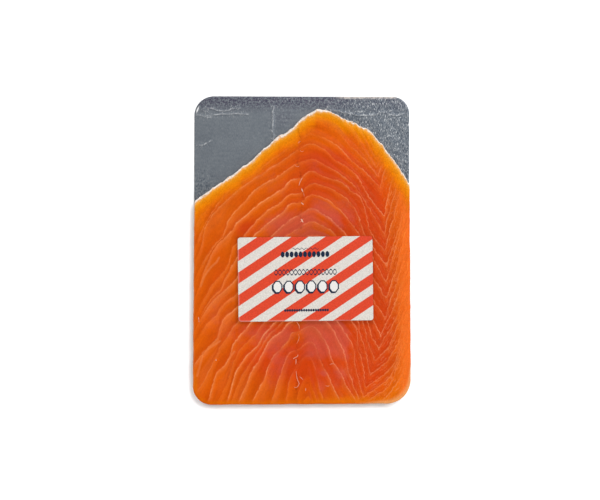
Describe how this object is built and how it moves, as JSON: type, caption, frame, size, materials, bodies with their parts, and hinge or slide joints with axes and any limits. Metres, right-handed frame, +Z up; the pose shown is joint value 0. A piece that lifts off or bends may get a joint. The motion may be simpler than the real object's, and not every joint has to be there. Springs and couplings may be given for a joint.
{
  "type": "smoked salmon slices",
  "caption": "Stack of thin smoked salmon slices laid on a rounded foil-faced board, with a striped paper label on top.",
  "frame": {"origin": "middle of the underside of the whole, on the surface that it lies on", "axes": "+Z up, out of the label; +Y along the length, towards the bare foil end of the board; +X across the width, so that the peak of the top slice leans towards +X"},
  "size_m": [0.1294, 0.1836, 0.0069],
  "materials": {
    "foil_board": "polished",
    "salmon_inner": "satin",
    "salmon_top": "satin",
    "label": "satin"
  },
  "bodies": {
    "root": {"foil_board": "foil_board", "slice_bottom": "salmon_inner", "slice_lower": "salmon_inner", "slice_upper": "salmon_inner", "slice_top": "salmon_top", "label": "label"}
  },
  "joints": []
}
